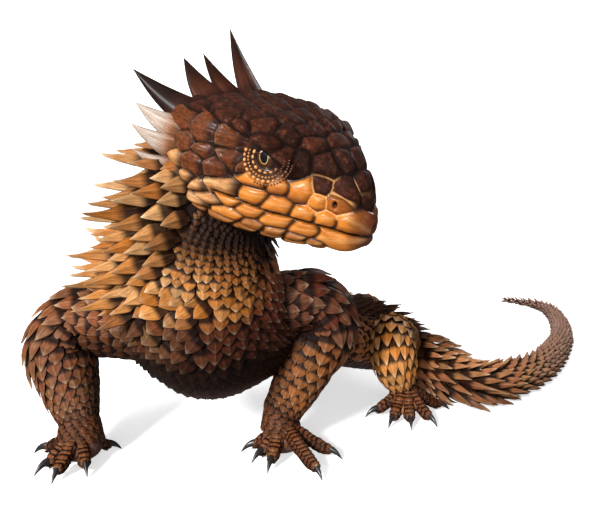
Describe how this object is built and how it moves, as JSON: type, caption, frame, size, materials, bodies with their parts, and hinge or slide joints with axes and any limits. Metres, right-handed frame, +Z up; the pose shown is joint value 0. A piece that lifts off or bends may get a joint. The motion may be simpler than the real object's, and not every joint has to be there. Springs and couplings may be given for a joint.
{
  "type": "sungazer lizard",
  "caption": "Life-size still model of a sungazer lizard with a spiny head, neck and tail, standing with its forebody raised and its tail curled on the floor.",
  "frame": {"origin": "middle of the bottom of the bounding box, on the floor under the trunk", "axes": "+Z up; -Y towards the viewer, the way the chest faces; +X to the viewer's right, the way the tail leaves the body"},
  "size_m": [0.2026, 0.2196, 0.1156],
  "materials": {
    "head_scales": "dark mahogany horny plates over the crown, rust on the temples and ochre along the lips",
    "jaw_scales": "glossy ochre lip plates and chin shields",
    "neck_scales": "orange to tan keeled spines with pale edges, dark between them",
    "back_scutes": "keeled scutes, ochre on the chest and flank, nearly black on the back and belly",
    "leg_scales": "overlapping keeled scales from reddish brown to ochre",
    "tail_scutes": "whorls of pointed scutes, orange brown fading to mauve grey at the tip",
    "claw_horn": "polished black horn",
    "eye": "wet dark brown eye with a thin gold ring"
  },
  "bodies": {
    "root": {"abdomen": "back_scutes", "chest": "back_scutes", "eye_left": "eye", "eye_right": "eye", "foot_left": "leg_scales", "foot_right": "leg_scales", "fore_left_claw_1": "claw_horn", "fore_left_claw_2": "claw_horn", "fore_left_claw_3": "claw_horn", "fore_left_claw_4": "claw_horn", "fore_left_claw_5": "claw_horn", "fore_right_claw_1": "claw_horn", "fore_right_claw_2": "claw_horn", "fore_right_claw_3": "claw_horn", "fore_right_claw_4": "claw_horn", "fore_right_claw_5": "claw_horn", "forearm_left": "leg_scales", "forearm_right": "leg_scales", "hand_left": "leg_scales", "hand_right": "leg_scales", "head": "head_scales", "hind_left_claw_1": "claw_horn", "hind_left_claw_2": "claw_horn", "hind_left_claw_3": "claw_horn", "hind_left_claw_4": "claw_horn", "hind_left_claw_5": "claw_horn", "hind_right_claw_1": "claw_horn", "hind_right_claw_2": "claw_horn", "hind_right_claw_3": "claw_horn", "hind_right_claw_4": "claw_horn", "hind_right_claw_5": "claw_horn", "jaw": "jaw_scales", "neck": "neck_scales", "pelvis": "back_scutes", "shin_left": "leg_scales", "shin_right": "leg_scales", "tail_1": "tail_scutes", "tail_2": "tail_scutes", "tail_3": "tail_scutes", "tail_4": "tail_scutes", "tail_5": "tail_scutes", "thigh_left": "leg_scales", "thigh_right": "leg_scales", "upper_arm_left": "leg_scales", "upper_arm_right": "leg_scales"}
  },
  "joints": []
}
